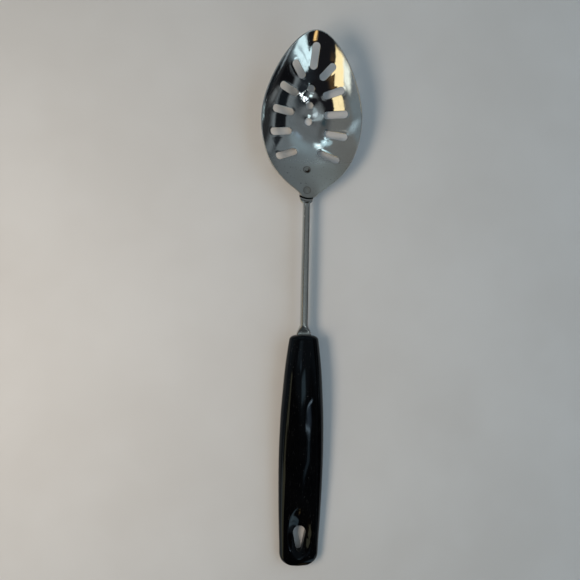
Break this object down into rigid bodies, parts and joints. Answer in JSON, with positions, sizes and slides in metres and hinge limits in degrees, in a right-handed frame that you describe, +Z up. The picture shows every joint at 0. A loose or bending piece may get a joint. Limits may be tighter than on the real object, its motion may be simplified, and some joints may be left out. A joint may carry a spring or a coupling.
{
  "type": "slotted serving spoon",
  "caption": "Slotted serving spoon: a pressed, pierced steel bowl welded to a steel shank moulded into a dished black plastic handle with a hang hole.",
  "frame": {"origin": "on the axis of the hang hole's wide end, on the plane that the spoon lies on", "axes": "+Y from the handle along the shank to the bowl's tip, +Z up out of the open bowl, +X to the right seen from above"},
  "size_m": [0.0567, 0.2955, 0.0228],
  "materials": {
    "bowl_steel": "bright plated, fine scratches",
    "shank_steel": "plated rod, lightly worn",
    "weld_steel": "dimpled, slightly stained",
    "handle_plastic": "glossy black moulding"
  },
  "bodies": {
    "root": {"bowl": "bowl_steel", "shank": "shank_steel", "front_weld": "weld_steel", "rear_weld": "weld_steel", "handle": "handle_plastic"}
  },
  "joints": []
}
